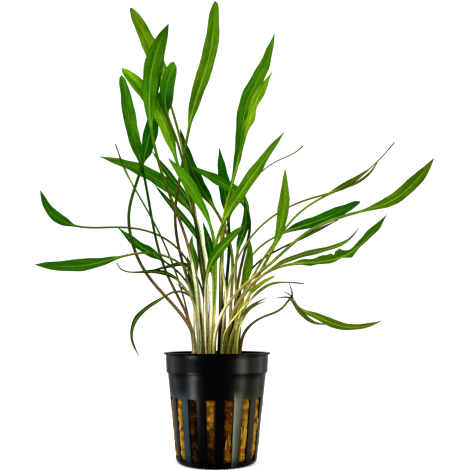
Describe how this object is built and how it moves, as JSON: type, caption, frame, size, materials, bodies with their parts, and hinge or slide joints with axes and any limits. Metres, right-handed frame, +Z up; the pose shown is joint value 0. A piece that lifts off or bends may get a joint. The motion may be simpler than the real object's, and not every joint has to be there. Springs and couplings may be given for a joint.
{
  "type": "potted cryptocoryne",
  "caption": "Narrow-leaved aquarium plant in a small slotted net pot, its long stalked leaves fanning up and out from a plug of growing wool.",
  "frame": {"origin": "centre of the pot's underside, on the surface it stands on", "axes": "+Z up along the pot's axis, -Y towards the side seen in the picture, +X to that view's right"},
  "size_m": [0.2094, 0.0942, 0.2609],
  "materials": {
    "pot_plastic": "satin black moulded plastic",
    "growing_wool": "damp brown and golden mineral wool with pale roots",
    "leaf_deep": "dark emerald leaf, soft sheen",
    "leaf_mid": "mid green leaf, soft sheen",
    "leaf_bright": "bright yellow-green leaf, soft sheen",
    "leaf_dry": "thin leaf, drying brown towards its tip"
  },
  "bodies": {
    "root": {"net_pot": "pot_plastic", "growing_wool": "growing_wool", "leaf_01": "leaf_deep", "leaf_02": "leaf_mid", "leaf_03": "leaf_dry", "leaf_04": "leaf_mid", "leaf_05": "leaf_bright", "leaf_06": "leaf_mid", "leaf_07": "leaf_bright", "leaf_08": "leaf_deep", "leaf_09": "leaf_mid", "leaf_10": "leaf_mid", "leaf_11": "leaf_mid", "leaf_12": "leaf_deep", "leaf_13": "leaf_deep", "leaf_14": "leaf_deep", "leaf_15": "leaf_mid", "leaf_16": "leaf_dry", "leaf_17": "leaf_mid", "leaf_18": "leaf_deep", "leaf_19": "leaf_deep", "leaf_20": "leaf_deep", "leaf_21": "leaf_deep", "leaf_22": "leaf_bright", "leaf_23": "leaf_mid", "leaf_24": "leaf_bright", "leaf_25": "leaf_mid", "leaf_26": "leaf_bright", "leaf_27": "leaf_mid", "leaf_28": "leaf_mid", "leaf_29": "leaf_dry", "leaf_30": "leaf_deep", "leaf_31": "leaf_mid", "leaf_32": "leaf_deep", "leaf_33": "leaf_deep", "leaf_34": "leaf_dry", "leaf_35": "leaf_mid", "leaf_36": "leaf_mid", "leaf_37": "leaf_deep", "leaf_38": "leaf_deep", "leaf_39": "leaf_dry", "leaf_40": "leaf_mid", "leaf_41": "leaf_bright", "leaf_42": "leaf_deep", "leaf_43": "leaf_deep", "leaf_44": "leaf_deep", "leaf_45": "leaf_mid", "leaf_46": "leaf_dry"}
  },
  "joints": []
}
